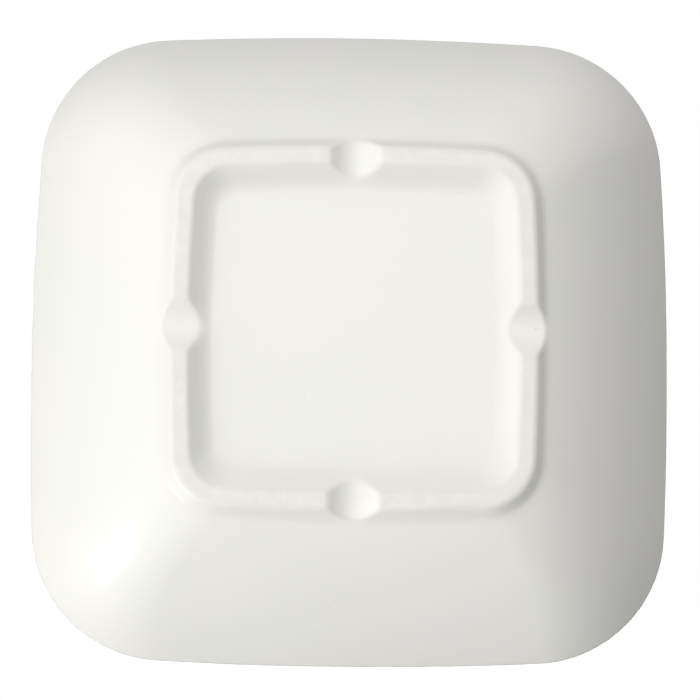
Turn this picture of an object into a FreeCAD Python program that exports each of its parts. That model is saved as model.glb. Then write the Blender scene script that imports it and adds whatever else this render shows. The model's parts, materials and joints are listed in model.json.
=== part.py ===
import FreeCAD, Part
import Sketcher
import math
import os

# A square, deep dish of glazed porcelain, pressed and fired in one piece. It stands on a raised square
# foot with four drain notches. +Z is up, and the foot's resting face is the plane z = 0. X is the width
# and Y the depth.

doc = FreeCAD.newDocument("SquareDish")

# Driving sizes, in millimetres and degrees: alias, value, what it is.
driving_sizes = [
    ("rim_width", 200, "overall width across the rim, along X"),
    ("rim_depth", 200, "overall depth across the rim, along Y"),
    ("dish_height", 44, "foot face to the top of the rim"),
    ("rim_corner", 44, "corner radius of the rim outline"),
    ("rim_bow", 4.4, "how far each rim side swells past a straight line"),
    ("rim_thickness", 3.2, "lip's outside to the edge of the inside wall, measured level"),
    ("rim_round", 1.8, "rounding of the lip, outside and inside"),
    ("corner_growth", 2.0, "how late a wall's corners open up: 1 is evenly, above 1 is nearer the rim"),
    ("foot_width", 109.5, "outside of the foot along X"),
    ("foot_depth", 109.5, "outside of the foot along Y"),
    ("foot_corner", 15.5, "corner radius of the foot outline"),
    ("foot_bow", 1.9, "how far each foot side swells"),
    ("foot_height", 3.6, "foot face to where the wall springs"),
    ("foot_draft", 3.0, "how much wider the foot is at its root, each side"),
    ("foot_land", 5.1, "width of the foot ring at its face"),
    ("foot_round", 2.5, "rounding of both edges of the foot face"),
    ("foot_cove", 8.0, "fillet where the wall springs from the foot"),
    ("base_recess", 4.6, "foot face to the underside of the base"),
    ("cove_run", 7.6, "sweep from the foot ring to the flat base"),
    ("base_corner", 7.0, "corner radius of the flat base"),
    ("base_thickness", 4.0, "thickness of the base"),
    ("floor_spread", 2.0, "how far the inside floor reaches past the foot, each side"),
    ("floor_corner", 15.0, "corner radius of the inside floor"),
    ("floor_blend", 14.0, "fillet between the floor and the inside wall"),
    ("wall_low_angle", 27, "slope of the outside wall at the foot"),
    ("wall_high_angle", 52, "slope of the outside wall at the rim"),
    ("inside_low_angle", 24, "slope of the inside wall at the floor"),
    ("inside_high_angle", 53, "slope of the inside wall at the rim"),
    ("notch_width", 14.6, "width of a drain notch at the foot face"),
    ("notch_rise", 3.4, "depth of a drain notch at its middle"),
]

sheet = doc.addObject("Spreadsheet::Sheet", "Sizes")
for row, (alias, value, meaning) in enumerate(driving_sizes, start=1):
    sheet.set("A%d" % row, alias)
    sheet.set("B%d" % row, str(value))
    sheet.setAlias("B%d" % row, alias)
    sheet.set("C%d" % row, meaning)
doc.recompute()

# Sizes that follow from the driving ones, as expressions on the sheet. The lip's rounding is limited by
# the wall that it rounds, and the sharp edge it is cut from stands out past the finished rim.
lip_limit = "(0.94 * Sizes.rim_thickness / (1 + tan(Sizes.inside_high_angle / 2)))"
lip_round = "min(Sizes.rim_round; " + lip_limit + ")"
lip_overrun = "(" + lip_round + " / tan(Sizes.wall_high_angle / 2) - " + lip_round + ")"
rim_reach_x = "(Sizes.rim_width / 2 + " + lip_overrun + ")"
rim_reach_y = "(Sizes.rim_depth / 2 + " + lip_overrun + ")"
inner_rim_reach_x = "(Sizes.rim_width / 2 - Sizes.rim_thickness)"
inner_rim_reach_y = "(Sizes.rim_depth / 2 - Sizes.rim_thickness)"
foot_reach_x = "(Sizes.foot_width / 2)"
foot_reach_y = "(Sizes.foot_depth / 2)"
root_reach_x = "(Sizes.foot_width / 2 + Sizes.foot_draft)"
root_reach_y = "(Sizes.foot_depth / 2 + Sizes.foot_draft)"
land_reach_x = "(Sizes.foot_width / 2 - Sizes.foot_land)"
land_reach_y = "(Sizes.foot_depth / 2 - Sizes.foot_land)"
floor_reach_x = "(Sizes.foot_width / 2 + Sizes.floor_spread)"
floor_reach_y = "(Sizes.foot_depth / 2 + Sizes.floor_spread)"
floor_level = "(Sizes.base_recess + Sizes.base_thickness)"
notch_radius = "((Sizes.notch_width ^ 2 / 4 + Sizes.notch_rise ^ 2) / (2 * Sizes.notch_rise))"
notch_drop = "(" + notch_radius + " - Sizes.notch_rise)"
notch_overrun = 3      # how far a notch cut runs past the root of the foot on each side

# Where the outlines of a wall and of the cove stand, as shares of the way from its first to its last.
wall_stations = (0.0, 0.25, 0.5, 0.75, 1.0)
cove_stations = (0.0, 0.3, 0.65, 1.0)

# Sketcher's numbers for an arc's points and for the sketch's own axes.
start_point, end_point, centre_point = 1, 2, 3
x_axis, y_axis = -1, -2


def value_of(expression):
    """The number that an expression on the sheet gives now."""
    return float(sheet.evalExpression(expression))


def between(start, end, share):
    """A blend of two expressions, by the share that the second has."""
    return "(%s + (%s - %s) * %s)" % (start, end, start, share)


def swept_height(low_level, high_level, run, low_angle, high_angle, fraction):
    """Height on a wall that leaves its foot at one slope and arrives at its rim at another.

    The wall is the cubic through both ends that has the two slopes there.
    """
    rise = "(%s - %s)" % (high_level, low_level)
    first = "(tan(%s) * %s / %s)" % (low_angle, run, rise)
    last = "(tan(%s) * %s / %s)" % (high_angle, run, rise)
    linear = "%s * %g" % (first, fraction)
    square = "(3 - 2 * %s - %s) * %g" % (first, last, fraction ** 2)
    cube = "(%s + %s - 2) * %g" % (first, last, fraction ** 3)
    return "(%s + %s * (%s + %s + %s))" % (low_level, rise, linear, square, cube)


def arc_between(x, y, radius, start, end):
    """An arc about a centre, anticlockwise from one angle to another."""
    circle = Part.Circle(FreeCAD.Vector(x, y, 0), FreeCAD.Vector(0, 0, 1), radius)
    return Part.ArcOfCircle(circle, start, end)


def origin_plane(body, role):
    """One of the body's own origin planes."""
    return [feature for feature in body.Origin.OriginFeatures if feature.Role == role][0]


def plane_sketch(body, name, role):
    """An empty sketch on one of the body's origin planes."""
    sketch = body.newObject("Sketcher::SketchObject", name)
    sketch.AttachmentSupport = [(origin_plane(body, role), "")]
    sketch.MapMode = "FlatFace"
    return sketch


def bind(sketch, label, constraint, expression):
    """Add a constraint with a name, and tie its size to the sheet."""
    number = sketch.addConstraint(constraint)
    sketch.renameConstraint(number, label)
    sketch.setExpression("Constraints." + label, expression)


def corner_centre(centre_x, centre_y, side_x, side_y, corner):
    """Centre of the corner arc that touches both side arcs from inside.

    It is short of each side's radius by its own, measured from that side's centre.
    """
    first = FreeCAD.Vector(centre_x, 0, 0)
    second = FreeCAD.Vector(0, centre_y, 0)
    link = second - first
    span = link.Length
    to_first = side_x - corner
    to_second = side_y - corner
    along = (to_first ** 2 - to_second ** 2 + span ** 2) / (2 * span)
    aside = math.sqrt(to_first ** 2 - along ** 2)
    unit = link / span
    normal = FreeCAD.Vector(unit.y, -unit.x, 0)
    if normal.x < 0:
        normal = -normal
    return first + unit * along + normal * aside


def bowed_square(body, name, level, reach_x, reach_y, corner, bow):
    """A sketch of four bowed sides and four round corners, all tangent, at a level above z = 0."""
    side_x = "((%s ^ 2 + %s ^ 2) / (2 * %s))" % (reach_y, bow, bow)
    side_y = "((%s ^ 2 + %s ^ 2) / (2 * %s))" % (reach_x, bow, bow)
    sketch = plane_sketch(body, name, "XY_Plane")
    sketch.setExpression("AttachmentOffset.Base.z", level)
    radius_x = value_of(side_x)
    radius_y = value_of(side_y)
    radius = value_of(corner)
    centre_x = value_of(reach_x) - radius_x
    centre_y = value_of(reach_y) - radius_y
    spot = corner_centre(centre_x, centre_y, radius_x, radius_y, radius)
    half = math.pi
    low = math.atan2(spot.y, spot.x - centre_x)
    high = math.atan2(spot.y - centre_y, spot.x)
    arcs = [
        arc_between(centre_x, 0, radius_x, -low, low),
        arc_between(spot.x, spot.y, radius, low, high),
        arc_between(0, centre_y, radius_y, high, half - high),
        arc_between(-spot.x, spot.y, radius, half - high, half - low),
        arc_between(-centre_x, 0, radius_x, half - low, half + low),
        arc_between(-spot.x, -spot.y, radius, half + low, half + high),
        arc_between(0, -centre_y, radius_y, half + high, -high),
        arc_between(spot.x, -spot.y, radius, -high, -low),
    ]
    for arc in arcs:
        sketch.addGeometry(arc, False)
    east, north_east, north, north_west, west, south_west, south, south_east = range(8)
    for number in range(8):
        sketch.addConstraint(Sketcher.Constraint("Tangent", number, end_point, (number + 1) % 8, start_point))
    for side, axis in ((east, x_axis), (north, y_axis), (west, x_axis), (south, y_axis)):
        sketch.addConstraint(Sketcher.Constraint("PointOnObject", side, centre_point, axis))
    for first, second in ((east, west), (north, south), (north_east, north_west),
                          (north_west, south_west), (south_west, south_east)):
        sketch.addConstraint(Sketcher.Constraint("Equal", first, second))
    bind(sketch, "side_radius_x", Sketcher.Constraint("Radius", east, radius_x), side_x)
    bind(sketch, "side_radius_y", Sketcher.Constraint("Radius", north, radius_y), side_y)
    bind(sketch, "corner_radius", Sketcher.Constraint("Radius", north_east, radius), corner)
    inset_x = side_x + " - " + reach_x
    inset_y = side_y + " - " + reach_y
    bind(sketch, "east_centre", Sketcher.Constraint(
        "DistanceX", east, centre_point, x_axis, start_point, -centre_x), inset_x)
    bind(sketch, "west_centre", Sketcher.Constraint(
        "DistanceX", x_axis, start_point, west, centre_point, -centre_x), inset_x)
    bind(sketch, "north_centre", Sketcher.Constraint(
        "DistanceY", north, centre_point, x_axis, start_point, -centre_y), inset_y)
    bind(sketch, "south_centre", Sketcher.Constraint(
        "DistanceY", x_axis, start_point, south, centre_point, -centre_y), inset_y)
    doc.recompute()
    return sketch


def check_change(body, name, before, grows):
    """Stop unless a feature made the body larger, or smaller, as it should."""
    after = body.Shape.Volume
    if (after > before) != grows or after == before:
        raise RuntimeError("%s changed the volume from %.1f to %.1f" % (name, before, after))


def loft(body, kind, name, sections, ruled):
    """A loft through sketches, which adds to the body or cuts it."""
    before = body.Shape.Volume if body.Tip else 0
    feature = body.newObject("PartDesign::" + kind, name)
    feature.Profile = sections[0]
    feature.Sections = sections[1:]
    feature.Ruled = ruled
    doc.recompute()
    check_change(body, name, before, kind == "AdditiveLoft")


def fillet_level(body, name, radius, level):
    """Fillet every edge that lies flat at one level."""
    base = body.Tip
    height = value_of(level)
    names = []
    for number, edge in enumerate(base.Shape.Edges, start=1):
        box = edge.BoundBox
        if abs(box.ZMin - height) < 0.01 and abs(box.ZMax - height) < 0.01:
            names.append("Edge%d" % number)
    feature = body.newObject("PartDesign::Fillet", name)
    feature.Base = (base, names)
    feature.setExpression("Radius", radius)
    doc.recompute()


def notch_pair(body, name, role, length):
    """A round-bottomed cut along one axis, which crosses the foot ring on both sides of the dish."""
    before = body.Shape.Volume
    sketch = plane_sketch(body, name + "_profile", role)
    radius = value_of(notch_radius)
    drop = value_of(notch_drop)
    sketch.addGeometry(Part.Circle(FreeCAD.Vector(0, -drop, 0), FreeCAD.Vector(0, 0, 1), radius), False)
    sketch.addConstraint(Sketcher.Constraint("PointOnObject", 0, centre_point, y_axis))
    bind(sketch, "notch_radius", Sketcher.Constraint("Radius", 0, radius), notch_radius)
    bind(sketch, "below_face", Sketcher.Constraint(
        "DistanceY", 0, centre_point, x_axis, start_point, drop), notch_drop)
    doc.recompute()
    feature = body.newObject("PartDesign::Pocket", name)
    feature.Profile = sketch
    feature.SideType = "Symmetric"
    feature.setExpression("Length", length)
    doc.recompute()
    check_change(body, name, before, False)


def blended_outlines(body, name, low, high, levels, stations, growth):
    """Outlines from a low one to a high one, each a blend of the two at its own level.

    The corner radius follows a power of the share, so that corners can open up late.
    """
    sketches = []
    for number, (level, fraction) in enumerate(zip(levels, stations)):
        share = "%g" % fraction
        corner_share = "%g ^ %s" % (fraction, growth)
        sketches.append(bowed_square(
            body, "%s_%d" % (name, number), level,
            between(low["reach_x"], high["reach_x"], share),
            between(low["reach_y"], high["reach_y"], share),
            between(low["corner"], high["corner"], corner_share),
            between(low["bow"], high["bow"], share)))
    return sketches


def wall_outlines(body, name, low, high, low_angle, high_angle):
    """Outlines up a wall that sweeps from its low outline to its high one."""
    run = "(%s - %s)" % (high["reach_x"], low["reach_x"])
    levels = [swept_height(low["level"], high["level"], run, low_angle, high_angle, fraction)
              for fraction in wall_stations]
    return blended_outlines(body, name, low, high, levels, wall_stations, "Sizes.corner_growth")


def make_dish():
    """The whole dish: one piece of clay, so one body."""
    body = doc.addObject("PartDesign::Body", "Dish")
    body.Label = "dish"

    # Outside: the wall sweeps out from its root to the rim, and the foot tapers down from the root.
    wall_root = {"level": "Sizes.foot_height", "reach_x": root_reach_x, "reach_y": root_reach_y,
                 "corner": "(Sizes.foot_corner + Sizes.foot_draft)", "bow": "Sizes.foot_bow"}
    wall_rim = {"level": "Sizes.dish_height", "reach_x": rim_reach_x, "reach_y": rim_reach_y,
                "corner": "Sizes.rim_corner", "bow": "Sizes.rim_bow"}
    outside = wall_outlines(body, "outside", wall_root, wall_rim,
                            "Sizes.wall_low_angle", "Sizes.wall_high_angle")
    foot_face = bowed_square(body, "foot_face", "0", foot_reach_x, foot_reach_y,
                             "Sizes.foot_corner", "Sizes.foot_bow")
    loft(body, "AdditiveLoft", "outer_wall", outside, False)
    loft(body, "AdditiveLoft", "foot_block", [foot_face, outside[0]], True)

    # Inside: a flat floor that sweeps up to the lip.
    floor_edge = {"level": floor_level, "reach_x": floor_reach_x, "reach_y": floor_reach_y,
                  "corner": "Sizes.floor_corner", "bow": "Sizes.foot_bow"}
    inner_rim = {"level": "Sizes.dish_height", "reach_x": inner_rim_reach_x, "reach_y": inner_rim_reach_y,
                 "corner": "(Sizes.rim_corner - Sizes.rim_thickness)", "bow": "Sizes.rim_bow"}
    inside = wall_outlines(body, "inside", floor_edge, inner_rim,
                           "Sizes.inside_low_angle", "Sizes.inside_high_angle")
    loft(body, "SubtractiveLoft", "inside_space", inside, False)

    # Underside: the base is set up inside the foot ring, and a quarter-wave cove leads from one to the other.
    ring_edge = {"reach_x": land_reach_x, "reach_y": land_reach_y,
                 "corner": "(Sizes.foot_corner - Sizes.foot_land)", "bow": "Sizes.foot_bow"}
    base_edge = {"reach_x": "(" + land_reach_x + " - Sizes.cove_run)",
                 "reach_y": "(" + land_reach_y + " - Sizes.cove_run)",
                 "corner": "Sizes.base_corner", "bow": "Sizes.foot_bow"}
    cove_levels = ["(Sizes.base_recess * sin(90 * %g))" % fraction for fraction in cove_stations]
    cove = blended_outlines(body, "cove", ring_edge, base_edge, cove_levels, cove_stations, "1")
    loft(body, "SubtractiveLoft", "base_hollow", cove, False)

    # Soft edges, and the four drain notches, one in the middle of each side of the foot.
    fillet_level(body, "floor_fillet", "Sizes.floor_blend", floor_level)
    fillet_level(body, "lip_fillet", lip_round, "Sizes.dish_height")
    fillet_level(body, "foot_edge_fillet", "Sizes.foot_round", "0")
    fillet_level(body, "foot_cove_fillet", "Sizes.foot_cove", "Sizes.foot_height")
    notch_pair(body, "notches_along_y", "XZ_Plane", "(Sizes.foot_depth + 2 * Sizes.foot_draft + 2 * %g)" % notch_overrun)
    notch_pair(body, "notches_along_x", "YZ_Plane", "(Sizes.foot_width + 2 * Sizes.foot_draft + 2 * %g)" % notch_overrun)
    body.Placement = FreeCAD.Placement()
    return body


def check_document():
    """Stop if any object failed or any body has no sound single solid."""
    for item in doc.Objects:
        if "Invalid" in item.State or "Error" in item.State:
            raise RuntimeError("%s failed: %s" % (item.Name, item.State))
    for body in sub_parts:
        if body.Shape.isNull() or not body.Shape.isValid() or len(body.Shape.Solids) != 1:
            raise RuntimeError("%s is not one sound solid" % body.Label)


sub_parts = [make_dish()]
doc.recompute()
check_document()
os.makedirs("parts", exist_ok=True)
for sub_part in sub_parts:
    sub_part.Shape.exportStep("parts/%s.step" % sub_part.Label)
    print(sub_part.Label, "volume %.0f mm3" % sub_part.Shape.Volume)
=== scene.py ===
import json
import math
import bpy
import numpy as np
from mathutils import Matrix, Vector

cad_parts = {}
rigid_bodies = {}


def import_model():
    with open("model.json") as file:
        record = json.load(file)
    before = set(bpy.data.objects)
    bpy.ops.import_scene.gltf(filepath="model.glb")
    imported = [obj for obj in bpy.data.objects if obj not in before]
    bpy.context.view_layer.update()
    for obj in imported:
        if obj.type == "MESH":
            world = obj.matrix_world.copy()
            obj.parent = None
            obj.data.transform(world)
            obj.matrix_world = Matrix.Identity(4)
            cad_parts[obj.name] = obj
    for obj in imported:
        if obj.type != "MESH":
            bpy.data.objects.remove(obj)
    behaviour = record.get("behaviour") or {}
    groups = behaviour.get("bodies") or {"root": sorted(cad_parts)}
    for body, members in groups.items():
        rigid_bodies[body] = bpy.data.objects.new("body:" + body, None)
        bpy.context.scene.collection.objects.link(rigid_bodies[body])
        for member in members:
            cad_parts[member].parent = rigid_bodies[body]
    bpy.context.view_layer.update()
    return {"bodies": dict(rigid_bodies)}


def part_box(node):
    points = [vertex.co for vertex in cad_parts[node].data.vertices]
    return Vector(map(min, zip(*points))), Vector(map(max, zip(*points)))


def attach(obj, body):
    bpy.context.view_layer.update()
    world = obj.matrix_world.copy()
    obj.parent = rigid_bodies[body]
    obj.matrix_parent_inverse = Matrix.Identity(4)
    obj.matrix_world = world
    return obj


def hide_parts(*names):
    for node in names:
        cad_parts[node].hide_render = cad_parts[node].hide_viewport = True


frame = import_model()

dishLow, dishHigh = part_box("dish")
bodyName = list(frame["bodies"])[0]

scene = bpy.context.scene
scene.view_settings.view_transform = "Standard"
scene.view_settings.look = "None"


# Square dish, all sizes in metres and degrees. Reach is the half width where a side crosses its axis.
dish = dict(
    halfWidth=(dishHigh[0] - dishLow[0]) / 2,
    halfDepth=(dishHigh[1] - dishLow[1]) / 2,
    rimLevel=dishHigh[2],
    lipRound=0.0018,          # rounding of the lip, outside and inside
    rimThickness=0.0032,      # lip's outside to the edge of the inside wall, measured level
    rimCorner=0.044,
    rimBow=0.0044,            # how far a side swells past a straight line
    cornerGrowth=2.0,         # above 1, the wall's corners stay tight near the foot and open up near the rim
    footReach=0.05475,
    footCorner=0.0155,
    footBow=0.0019,
    footDraft=0.0030,         # how much wider the foot is at its root
    footHeight=0.0036,        # foot face to where the wall springs
    footLand=0.0051,          # width of the foot ring at its face
    footRound=0.0025,
    footCove=0.0080,
    baseRecess=0.0046,        # foot face to the underside of the base
    coveRun=0.0076,
    baseCorner=0.007,
    floorLevel=0.0086,
    floorReach=0.05675,
    floorCorner=0.015,
    floorBlend=0.014,
    wallLowAngle=27, wallHighAngle=52,
    insideLowAngle=24, insideHighAngle=53,
    notchWidth=0.0146,        # drain notch across the foot ring
    notchRise=0.0034,
    notchSoft=0.0009,         # how softly a notch runs out into the ring
    notchCeiling=1.5,         # notches reach no higher than this many times the base's recess
    warp=0.00012,             # how far firing has pulled the walls out of true
    poolAndShadeRound=0.0040,         # hollows this tight or tighter get the thickest glaze and the most painted shade
    thinRound=0.0022,         # edges this tight or tighter keep the thinnest glaze
    wearHeight=0.0005,        # the foot is rubbed up to this height
    sideSteps=56, cornerSteps=22,
    sideCrowd=3.4,            # crowds the steps in the middle of a side, where the notches are
    poolAndShadeRounds=6, thinRounds=3,    # how widely the mask of thick glaze and painted shade and the thin-glaze mask are averaged along the profile
    profileSteps=dict(
        floor=14, inside=56, lip=9, outside=72, footSide=9, land=13, cove=26, base=12,
        floorBlend=9, innerLip=11, outerLip=15, footCove=9, outerLand=9, innerLand=7,
    ),
)


def sweptCurve(low, high, lowAngle, highAngle, steps):
    # cubic from low to high whose slope is lowAngle at the start and highAngle at the end
    run, rise = high[0] - low[0], high[1] - low[1]
    first = math.tan(math.radians(lowAngle)) * run / rise
    last = math.tan(math.radians(highAngle)) * run / rise
    t = np.linspace(0, 1, steps)
    share = first * t + (3 - 2 * first - last) * t ** 2 + (first + last - 2) * t ** 3
    return np.column_stack([low[0] + run * t, low[1] + rise * share])


def withSide(curve, startSide, endSide):
    # adds a third column that says how far a point belongs to the inside: 1 inside, 0 outside
    return np.column_stack([curve, np.linspace(startSide, endSide, len(curve))])


arcMargin = 1.03        # a cut curve's last point stays this far clear of the arc's first


def filletBetween(before, after, radius, steps):
    # joins two curves at the sharp point that they share by an arc of that radius: the arc's centre lies on
    # the line that halves the corner, and each curve is cut back to where the arc touches it
    corner = before[-1, :2]
    toward = before[-2, :2] - corner
    away = after[1, :2] - corner
    toward, away = toward / np.linalg.norm(toward), away / np.linalg.norm(away)
    halfAngle = math.acos(np.clip(toward @ away, -1, 1)) / 2
    reach = radius / math.tan(halfAngle)
    bisector = (toward + away) / np.linalg.norm(toward + away)
    centre = corner + bisector * radius / math.sin(halfAngle)
    startAngle = math.atan2(*(corner + toward * reach - centre)[::-1])
    endAngle = math.atan2(*(corner + away * reach - centre)[::-1])
    turn = (endAngle - startAngle + math.pi) % (2 * math.pi) - math.pi
    angles = startAngle + turn * np.linspace(0, 1, steps)
    arc = centre + radius * np.column_stack([np.cos(angles), np.sin(angles)])
    keptBefore = before[np.linalg.norm(before[:, :2] - corner, axis=1) > reach * arcMargin]
    keptAfter = after[np.linalg.norm(after[:, :2] - corner, axis=1) > reach * arcMargin]
    side = np.linspace(keptBefore[-1, 2], keptAfter[0, 2], steps)
    return np.vstack([keptBefore, np.column_stack([arc, side]), keptAfter])


def lipOverrun(d):
    # how far the sharp edge that the lip is rounded from stands out past the finished rim
    return d["lipRound"] / math.tan(math.radians(d["wallHighAngle"] / 2)) - d["lipRound"]


def dishProfile(d):
    # half section of the wall, from the middle of the floor over the lip and down to the middle of the base:
    # columns are reach, height and how far the point belongs to the inside
    rim = (d["halfWidth"] + lipOverrun(d), d["rimLevel"])
    innerRim = (d["halfWidth"] - d["rimThickness"], d["rimLevel"])
    root = (d["footReach"] + d["footDraft"], d["footHeight"])
    landEdge = d["footReach"] - d["footLand"]
    floorEdge = (d["floorReach"], d["floorLevel"])
    footEdge = (d["footReach"], 0)
    steps = d["profileSteps"]
    floor = np.linspace((0, d["floorLevel"]), floorEdge, steps["floor"])
    inside = sweptCurve(floorEdge, innerRim, d["insideLowAngle"], d["insideHighAngle"], steps["inside"])
    lip = np.linspace(innerRim, rim, steps["lip"])
    outside = sweptCurve(root, rim, d["wallLowAngle"], d["wallHighAngle"], steps["outside"])[::-1]
    footSide = np.linspace(root, footEdge, steps["footSide"])
    land = np.linspace(footEdge, (landEdge, 0), steps["land"])
    quarter = np.linspace(0, 1, steps["cove"])
    cove = np.column_stack([landEdge - d["coveRun"] * quarter, d["baseRecess"] * np.sin(quarter * math.pi / 2)])
    base = np.linspace((landEdge - d["coveRun"], d["baseRecess"]), (0, d["baseRecess"]), steps["base"])
    profile = withSide(floor, 1, 1)
    profile = filletBetween(profile, withSide(inside, 1, 1), d["floorBlend"], steps["floorBlend"])
    profile = filletBetween(profile, withSide(lip, 1, 0), d["lipRound"], steps["innerLip"])
    profile = filletBetween(profile, withSide(outside, 0, 0), d["lipRound"], steps["outerLip"])
    profile = filletBetween(profile, withSide(footSide, 0, 0), d["footCove"], steps["footCove"])
    profile = filletBetween(profile, withSide(land, 0, 0), d["footRound"], steps["outerLand"])
    profile = filletBetween(profile, withSide(cove, 0, 0), d["footRound"], steps["innerLand"])
    return np.vstack([profile, withSide(base, 0, 0)[1:]])


def dishOutlines(d, reach, side):
    # one closed outline per reach: four bowed sides and four corner arcs that touch them from inside.
    # A side's arc has radius (reach^2 + bow^2) / (2 bow), and the corner arc's centre lies on the diagonal
    landEdge = d["footReach"] - d["footLand"]
    rootReach, rimReach = d["footReach"] + d["footDraft"], d["halfWidth"] + lipOverrun(d)
    rootCorner = d["footCorner"] + d["footDraft"]
    under = [0, landEdge - d["coveRun"], landEdge, d["footReach"], rootReach]
    underCorner = [0, d["baseCorner"], d["footCorner"] - d["footLand"], d["footCorner"], rootCorner]
    rise = np.clip((reach - rootReach) / (rimReach - rootReach), 0, 1)
    outerCorner = np.interp(reach, under, underCorner) + (d["rimCorner"] - rootCorner) * rise ** d["cornerGrowth"]
    outerBow = d["footBow"] * np.clip(reach / landEdge, 0, 1) + (d["rimBow"] - d["footBow"]) * rise
    innerReach = d["halfWidth"] - d["rimThickness"]
    climb = np.clip((reach - d["floorReach"]) / (innerReach - d["floorReach"]), 0, 1)
    inFloor = np.clip(reach / d["floorReach"], 0, 1)
    innerCorner = (d["floorCorner"] * inFloor
                   + (d["rimCorner"] - d["rimThickness"] - d["floorCorner"]) * climb ** d["cornerGrowth"])
    innerBow = d["footBow"] * inFloor + (d["rimBow"] - d["footBow"]) * climb
    corner = side * innerCorner + (1 - side) * outerCorner
    bow = side * innerBow + (1 - side) * outerBow
    sideRadius = (reach ** 2 + bow ** 2) / (2 * bow)
    back = reach - sideRadius                                   # where a side's centre stands on its axis
    middle = (back + np.sqrt(2 * (sideRadius - corner) ** 2 - back ** 2)) / 2
    low = np.arctan2(middle, middle - back)                     # angle where the side meets the corner
    crowd = d["sideCrowd"]
    sideShare = np.sinh(crowd * np.linspace(-1, 1, d["sideSteps"] + 1)[:-1]) / math.sinh(crowd)
    cornerShare = np.linspace(0, 1, d["cornerSteps"] + 1)[:-1]
    sideAngle = low[:, None] * sideShare
    cornerAngle = low[:, None] + (math.pi / 2 - 2 * low[:, None]) * cornerShare
    x = np.hstack([back[:, None] + sideRadius[:, None] * np.cos(sideAngle),
                   middle[:, None] + corner[:, None] * np.cos(cornerAngle)])
    y = np.hstack([sideRadius[:, None] * np.sin(sideAngle),
                   middle[:, None] + corner[:, None] * np.sin(cornerAngle)])
    turnedX = np.hstack([x, -y, -x, y])
    turnedY = np.hstack([y, x, -y, -x])
    return turnedX, turnedY


def notchHeight(d, across):
    # round floor of a drain notch, a circle through the notch's width and rise, by distance from its middle,
    # and a level below the foot where the circle has nearly turned upright
    radius = (d["notchWidth"] ** 2 / 4 + d["notchRise"] ** 2) / (2 * d["notchRise"])
    level = np.sqrt(np.maximum(radius ** 2 - across ** 2, 0)) - radius + d["notchRise"]
    circleShare, farBelow = 0.98, -1
    return np.where(np.abs(across) < radius * circleShare, level, farBelow)


def softHigher(first, second, soft):
    # the higher of two heights, with a parabola over the step where they cross
    near = np.maximum(soft - np.abs(first - second), 0)
    return np.maximum(first, second) + near ** 2 / (4 * soft)


def warped(points, amount, rimLevel):
    # firing pulls the walls in and out by slow waves round the dish, none at the foot and most at the rim
    x, y, z = np.moveaxis(points, -1, 0)
    turn = np.arctan2(y, x)
    wave = np.sin(2 * turn + 0.7) + 0.6 * np.sin(5 * turn + 70 * z) + 0.4 * np.sin(9 * turn - 110 * z + 2)
    leastReach = 0.02
    pull = 1 - amount * (1 + wave / 2) * z / rimLevel / np.maximum(np.hypot(x, y), leastReach)
    return np.stack([x * pull, y * pull, z], axis=-1)


def bendAlongRows(points):
    # how sharply the surface bends along each profile line, in turns per metre of length: the change of
    # heading over the length, taken along the outward normal, so it is above 0 in hollows and below on edges
    step = np.diff(points, axis=0)
    length = np.linalg.norm(step, axis=2, keepdims=True)
    heading = step / length
    turn = np.zeros_like(points)
    turn[1:-1] = 2 * (heading[1:] - heading[:-1]) / (length[1:] + length[:-1])
    around = np.roll(points, -1, axis=1) - np.roll(points, 1, axis=1)
    normal = np.cross(np.gradient(points, axis=0), around)
    normal /= np.linalg.norm(normal, axis=2, keepdims=True)
    return (turn * normal).sum(axis=2)


def averaged(values, rounds):
    # each value becomes the mean of itself and its neighbours along the profile, that many times
    for _ in range(rounds):
        edged = np.pad(values, ((1, 1), (0, 0)), mode="edge")
        values = (edged[:-2] + edged[1:-1] + edged[2:]) / 3
    return values


def addMask(mesh, name, values):
    # a number at each point from 0 to 1, with 0 at the two poles
    mask = mesh.attributes.new(name, "FLOAT", "POINT")
    mask.data.foreach_set("value", np.append(np.clip(values, 0, 1).ravel(), (0, 0)).astype(np.float32))


def closedGrid(name, points, startPole, endPole):
    # a tube of quads over rows and columns of points, whose ends are closed by fans to two poles
    rows, columns = points.shape[:2]
    vertices = np.vstack([points.reshape(-1, 3), startPole, endPole])
    index = np.arange(rows * columns).reshape(rows, columns)
    ahead = np.roll(index, -1, axis=1)
    quads = np.stack([index[:-1], index[1:], ahead[1:], ahead[:-1]], axis=-1).reshape(-1, 4)
    startFan = np.stack([np.full(columns, rows * columns), index[0], ahead[0]], axis=-1)
    endFan = np.stack([np.full(columns, rows * columns + 1), ahead[-1], index[-1]], axis=-1)
    mesh = bpy.data.meshes.new(name)
    mesh.from_pydata(vertices.tolist(), [], quads.tolist() + startFan.tolist() + endFan.tolist())
    mesh.polygons.foreach_set("use_smooth", np.ones(len(mesh.polygons), dtype=bool))
    mesh.update()
    return mesh


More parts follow.
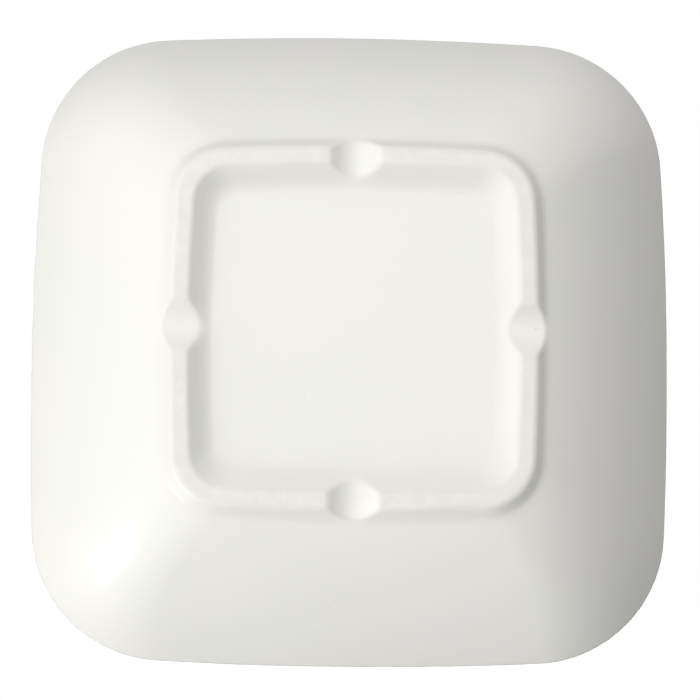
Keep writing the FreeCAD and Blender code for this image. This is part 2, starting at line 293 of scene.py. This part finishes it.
def makeDish(d):
    profile = dishProfile(d)
    reach, height, side = profile[1:-1].T
    x, y = dishOutlines(d, reach, side)
    z = np.repeat(height[:, None], x.shape[1], axis=1)
    outerSide = side[:, None] < 0.5
    under = outerSide & (z < d["baseRecess"] * d["notchCeiling"])
    across = np.minimum(np.abs(x), np.abs(y))
    cut = softHigher(z, notchHeight(d, across), d["notchSoft"])
    nearNotch = np.clip((d["notchWidth"] - across) / (d["notchWidth"] / 4), 0, 1)
    z = np.where(under, z + (cut - z) * nearNotch, z)
    points = np.stack([x, y * d["halfDepth"] / d["halfWidth"], z], axis=-1)
    points = warped(points, d["warp"], d["rimLevel"])
    mesh = closedGrid("dish.mesh", points, (0, 0, profile[0, 1]), (0, 0, profile[-1, 1]))
    bend = bendAlongRows(points)
    # mask of the hollows, from how sharply the surface bends inward: thick glaze and painted shade
    addMask(mesh, "glazePoolAndShade", averaged(bend * d["poolAndShadeRound"], d["poolAndShadeRounds"]))
    addMask(mesh, "glazeThin", averaged(-bend * d["thinRound"], d["thinRounds"]))
    addMask(mesh, "footWear", np.where(outerSide, 1 - z / d["wearHeight"], 0))
    piece = bpy.data.objects.new("glazedDish", mesh)
    scene.collection.objects.link(piece)
    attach(piece, bodyName)
    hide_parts("dish")
    print("dish:", len(mesh.vertices), "points,", len(mesh.polygons), "faces")
    return piece


glazedDish = makeDish(dish)


def addNode(tree, kind, settings=None, inputs=None):
    # a shader node with its settings, and with each input set to a value or linked to a socket
    node = tree.nodes.new("ShaderNode" + kind)
    for name, value in (settings or {}).items():
        setattr(node, name, value)
    for name, value in (inputs or {}).items():
        if isinstance(value, bpy.types.NodeSocket):
            tree.links.new(value, node.inputs[name])
        else:
            node.inputs[name].default_value = value
    return node


def maths(tree, operation, first, second=0.0, clamp=False):
    return addNode(tree, "Math", dict(operation=operation, use_clamp=clamp), {0: first, 1: second}).outputs[0]


def mixColour(tree, share, first, second):
    # sockets 0, 6 and 7 of a Mix node are its factor and its two colours, and output 2 is the colour
    return addNode(tree, "Mix", dict(data_type="RGBA"), {0: share, 6: first, 7: second}).outputs[2]


def pointMask(tree, name):
    return addNode(tree, "Attribute", dict(attribute_name=name)).outputs["Fac"]


def makeMottleGroup():
    # cloudy mask from 0 to 1, whose clouds are about Size across
    group = bpy.data.node_groups.new("softMottle", "ShaderNodeTree")
    group.interface.new_socket("Position", in_out="INPUT", socket_type="NodeSocketVector")
    group.interface.new_socket("Size", in_out="INPUT", socket_type="NodeSocketFloat")
    group.interface.new_socket("Mask", in_out="OUTPUT", socket_type="NodeSocketFloat")
    start = group.nodes.new("NodeGroupInput")
    scale = maths(group, "DIVIDE", 1.0, start.outputs["Size"])
    cloud = addNode(group, "TexNoise", inputs={
        "Vector": start.outputs["Position"], "Scale": scale, "Detail": 2.0, "Roughness": 0.45})
    spread = addNode(group, "MapRange", dict(interpolation_type="SMOOTHSTEP"), {
        "Value": cloud.outputs["Fac"], "From Min": 0.25, "From Max": 0.75})
    group.links.new(spread.outputs["Result"], group.nodes.new("NodeGroupOutput").inputs["Mask"])
    return group


softMottle = makeMottleGroup()


def mottle(tree, position, size):
    return addNode(tree, "Group", dict(node_tree=softMottle), {"Position": position, "Size": size}).outputs["Mask"]


# Glaze: warm white porcelain under a clear gloss, with its sizes in metres.
glaze = dict(
    white=(0.866, 0.854, 0.816, 1),
    cloud=(0.852, 0.846, 0.802, 1),      # slow drift of the white
    pooledGlazeWithShade=(0.800, 0.792, 0.712, 1),     # thick glaze and painted shade in the hollows, warmer and darker
    thin=(0.795, 0.778, 0.732, 1),       # clay that shows through thin glaze on the edges
    rubbed=(0.745, 0.735, 0.700, 1),     # foot face
    fleck=(0.60, 0.56, 0.48, 1),         # iron fleck or pinhole
    cloudSize=0.050, hazeSize=0.012, peelSize=0.0022, rubSize=0.0035,
    poolAndShadeShare=0.75, thinShare=0.55, rubShare=0.6,
    hazeFloor=0.5, rubFloor=0.4,         # how much thinness and wear show between the patches
    coatLoss=0.6,                        # share of the clear coat that a rubbed spot has lost
    fleckSpacing=0.009, fleckRadius=0.00026, fleckRarity=0.45,
    fleckCore=0.4,                       # share of a fleck's radius that is at full strength
    waveHeight=0.00006, peelHeight=0.000004, fleckDepth=0.00006,
    glossyRoughness=0.295, dullRoughness=0.36, rubbedRoughness=0.55,
    coatRoughness=0.08,
)


def makeGlaze(g):
    material = bpy.data.materials.new("whiteGlaze")
    material.use_nodes = True
    tree = material.node_tree
    shader = tree.nodes["Principled BSDF"]
    position = addNode(tree, "TexCoord").outputs["Object"]
    clouds = mottle(tree, position, g["cloudSize"])
    haze = mottle(tree, position, g["hazeSize"])
    peel = mottle(tree, position, g["peelSize"])
    rub = mottle(tree, position, g["rubSize"])

    # flecks: a dot at some of the scattered points of a cell pattern
    cells = addNode(tree, "TexVoronoi", inputs={"Vector": position, "Scale": 1 / g["fleckSpacing"]})
    dot = addNode(tree, "MapRange", inputs={
        "Value": cells.outputs["Distance"], "From Min": g["fleckRadius"] / g["fleckSpacing"],
        "From Max": g["fleckCore"] * g["fleckRadius"] / g["fleckSpacing"]}).outputs["Result"]
    chance = addNode(tree, "SeparateColor", inputs={"Color": cells.outputs["Color"]}).outputs["Red"]
    fleck = maths(tree, "MULTIPLY", dot, maths(tree, "GREATER_THAN", chance, g["fleckRarity"]))

    # colour: the white drifts, is painted warmer and darker in the hollows for thick glaze and for shade, and
    # shows the clay on edges and on the rubbed foot
    poolAndShade = maths(tree, "MULTIPLY", pointMask(tree, "glazePoolAndShade"), g["poolAndShadeShare"])
    thin = maths(tree, "MULTIPLY", pointMask(tree, "glazeThin"), g["thinShare"])
    thin = maths(tree, "MULTIPLY", thin, maths(tree, "ADD", haze, g["hazeFloor"]), clamp=True)
    patchy = maths(tree, "ADD", rub, g["rubFloor"])
    worn = maths(tree, "MULTIPLY", pointMask(tree, "footWear"), patchy, clamp=True)
    colour = mixColour(tree, clouds, g["white"], g["cloud"])
    # painted shade and thicker glaze in the hollows
    colour = mixColour(tree, poolAndShade, colour, g["pooledGlazeWithShade"])
    colour = mixColour(tree, thin, colour, g["thin"])
    colour = mixColour(tree, maths(tree, "MULTIPLY", worn, g["rubShare"]), colour, g["rubbed"])
    colour = mixColour(tree, fleck, colour, g["fleck"])
    tree.links.new(colour, shader.inputs["Base Color"])

    # roughness: patches of a slightly duller gloss, and a rubbed foot that has lost some of its coat
    span = g["dullRoughness"] - g["glossyRoughness"]
    rough = maths(tree, "ADD", maths(tree, "MULTIPLY", haze, span), g["glossyRoughness"])
    lost = maths(tree, "MULTIPLY", worn, g["rubbedRoughness"] - g["glossyRoughness"])
    tree.links.new(maths(tree, "ADD", rough, lost, clamp=True), shader.inputs["Roughness"])
    coat = maths(tree, "SUBTRACT", 1.0, maths(tree, "MULTIPLY", worn, g["coatLoss"]))
    tree.links.new(coat, shader.inputs["Coat Weight"])
    shader.inputs["Coat Roughness"].default_value = g["coatRoughness"]

    # relief: slow waves and a fine peel in the glaze, and a pit at each fleck
    relief = maths(tree, "MULTIPLY", clouds, g["waveHeight"])
    relief = maths(tree, "ADD", relief, maths(tree, "MULTIPLY", peel, g["peelHeight"]))
    relief = maths(tree, "SUBTRACT", relief, maths(tree, "MULTIPLY", fleck, g["fleckDepth"]))
    bump = addNode(tree, "Bump", inputs={"Height": relief, "Distance": 1.0, "Strength": 1.0})
    tree.links.new(bump.outputs["Normal"], shader.inputs["Normal"])
    return material


glazedDish.data.materials.append(makeGlaze(glaze))
print("glaze made")

# Soft studio: an even pale room, boxes that reach the underside through the floor, and one box overhead.
# Tilt is measured from straight below the dish, and swing from its +X side towards +Y.
studio = dict(
    roomBelow=0.05, roomAbove=0.28,      # brightness of the room under the dish and from its level up
    roomLow=-0.5, roomHigh=0.0,          # how steeply down the one starts and the other ends
    backdrop=1.0,
    lowBoxes=[
        dict(name="mainBox", power=7.8, size=1.00, distance=1.2, tilt=75, swing=-35, inGlaze=False),
        dict(name="farBox", power=8.2, size=1.20, distance=1.3, tilt=45, swing=84, inGlaze=False),
        dict(name="frontBox", power=2.3, size=1.00, distance=1.2, tilt=75, swing=-90, inGlaze=False),
        dict(name="nearBox", power=11.8, size=1.20, distance=1.3, tilt=12, swing=20, inGlaze=False),
        dict(name="sideBox", power=0.8, size=0.36, distance=1.0, tilt=76, swing=-34, inGlaze=True),
    ],
    topPower=15.0, topSize=1.1, topHeight=1.3,
)


def areaLight(name, power, size, place, target, inGlaze=True):
    light = bpy.data.lights.new(name, "AREA")
    light.shape = "SQUARE"
    light.size = size
    light.energy = power
    lamp = bpy.data.objects.new(name, light)
    lamp.location = place
    lamp.rotation_euler = (Vector(target) - Vector(place)).to_track_quat("-Z", "Y").to_euler()
    lamp.visible_camera = False
    lamp.visible_glossy = inGlaze
    scene.collection.objects.link(lamp)


def makeWorld(s):
    # the room lights the dish from all sides, more from its walls and ceiling than from below, and the
    # camera sees a plain backdrop
    world = bpy.data.worlds.new("paleRoom")
    scene.world = world
    world.use_nodes = True
    tree = world.node_tree
    direction = addNode(tree, "TexCoord").outputs["Generated"]
    height = addNode(tree, "SeparateXYZ", inputs={"Vector": direction}).outputs["Z"]
    room = addNode(tree, "MapRange", dict(interpolation_type="SMOOTHSTEP"), {
        "Value": height, "From Min": s["roomLow"], "From Max": s["roomHigh"],
        "To Min": s["roomBelow"], "To Max": s["roomAbove"]})
    seen = addNode(tree, "LightPath").outputs["Is Camera Ray"]
    strength = addNode(tree, "Mix", inputs={0: seen, 2: room.outputs["Result"], 3: s["backdrop"]})
    tree.nodes["Background"].inputs["Color"].default_value = (1, 1, 1, 1)
    tree.links.new(strength.outputs[0], tree.nodes["Background"].inputs["Strength"])


# Floor: pale matt card under the foot, clear from below so that the underside can be seen. It fades to the
# white of the backdrop away from the dish.
card = dict(
    size=4.0,
    pale=(0.80, 0.80, 0.79, 1), shade=(0.78, 0.78, 0.765, 1),
    shadeSize=0.30, grainSize=0.0018, grainHeight=0.00003, roughness=0.62,
    fadeStart=0.20, fadeEnd=1.10,        # distances from the middle where the fade begins and ends
)


def makeFloor(c):
    half = c["size"] / 2
    mesh = bpy.data.meshes.new("floor.mesh")
    mesh.from_pydata([(-half, -half, 0), (half, -half, 0), (half, half, 0), (-half, half, 0)], [], [(0, 1, 2, 3)])
    floor = bpy.data.objects.new("floor", mesh)
    scene.collection.objects.link(floor)
    material = bpy.data.materials.new("paleCard")
    material.use_nodes = True
    tree = material.node_tree
    shader = tree.nodes["Principled BSDF"]
    position = addNode(tree, "TexCoord").outputs["Object"]
    colour = mixColour(tree, mottle(tree, position, c["shadeSize"]), c["pale"], c["shade"])
    grain = maths(tree, "MULTIPLY", mottle(tree, position, c["grainSize"]), c["grainHeight"])
    bump = addNode(tree, "Bump", inputs={"Height": grain, "Distance": 1.0, "Strength": 1.0})
    tree.links.new(colour, shader.inputs["Base Color"])
    tree.links.new(bump.outputs["Normal"], shader.inputs["Normal"])
    shader.inputs["Roughness"].default_value = c["roughness"]
    reach = addNode(tree, "VectorMath", dict(operation="LENGTH"), {0: position}).outputs["Value"]
    ends = {"Value": reach, "From Min": c["fadeStart"], "From Max": c["fadeEnd"]}
    faded = addNode(tree, "MapRange", dict(interpolation_type="SMOOTHSTEP"), ends).outputs["Result"]
    behind = addNode(tree, "NewGeometry").outputs["Backfacing"]
    unseen = maths(tree, "MAXIMUM", behind, faded)
    clear = addNode(tree, "BsdfTransparent").outputs["BSDF"]
    mix = addNode(tree, "MixShader", inputs={0: unseen, 1: shader.outputs["BSDF"], 2: clear})
    tree.links.new(mix.outputs["Shader"], tree.nodes["Material Output"].inputs["Surface"])
    mesh.materials.append(material)
    floor.visible_diffuse = False
    floor.visible_glossy = False
    floor.visible_transmission = False
    floor.visible_shadow = False


def boxPlace(aim, box):
    tilt, swing = math.radians(box["tilt"]), math.radians(box["swing"])
    away = Vector((math.sin(tilt) * math.cos(swing), math.sin(tilt) * math.sin(swing), -math.cos(tilt)))
    return aim + away * box["distance"]


makeWorld(studio)
makeFloor(card)
print("floor and room made")
aim = Vector((0, 0, dish["rimLevel"] / 2))
for box in studio["lowBoxes"]:
    areaLight(box["name"], box["power"], box["size"], boxPlace(aim, box), aim, box["inGlaze"])
areaLight("topBox", studio["topPower"], studio["topSize"], (0, 0, studio["topHeight"]), aim)

# Camera: close to straight under the dish, a little towards its near side
view = dict(
    distance=0.80, swing=1.6, tilt=8.6, roll=0.49, lens=130.6,
    target=(0.0001, -0.0006, dish["rimLevel"]),
)


def makeCamera(v):
    sideways = math.sin(math.radians(v["swing"]))
    nearer = math.sin(math.radians(v["tilt"]))
    away = Vector((sideways, -nearer, -math.sqrt(1 - sideways ** 2 - nearer ** 2)))
    right = Vector((0, 1, 0)).cross(away).normalized()
    up = away.cross(right)
    roll = math.radians(v["roll"])
    right, up = right * math.cos(roll) + up * math.sin(roll), up * math.cos(roll) - right * math.sin(roll)
    lens = bpy.data.cameras.new("camera")
    lens.lens = v["lens"]
    camera = bpy.data.objects.new("camera", lens)
    camera.matrix_world = (Matrix.Translation(Vector(v["target"]) + away * v["distance"])
                           @ Matrix((right, up, away)).transposed().to_4x4())
    scene.collection.objects.link(camera)
    scene.camera = camera


makeCamera(view)
bpy.context.view_layer.update()
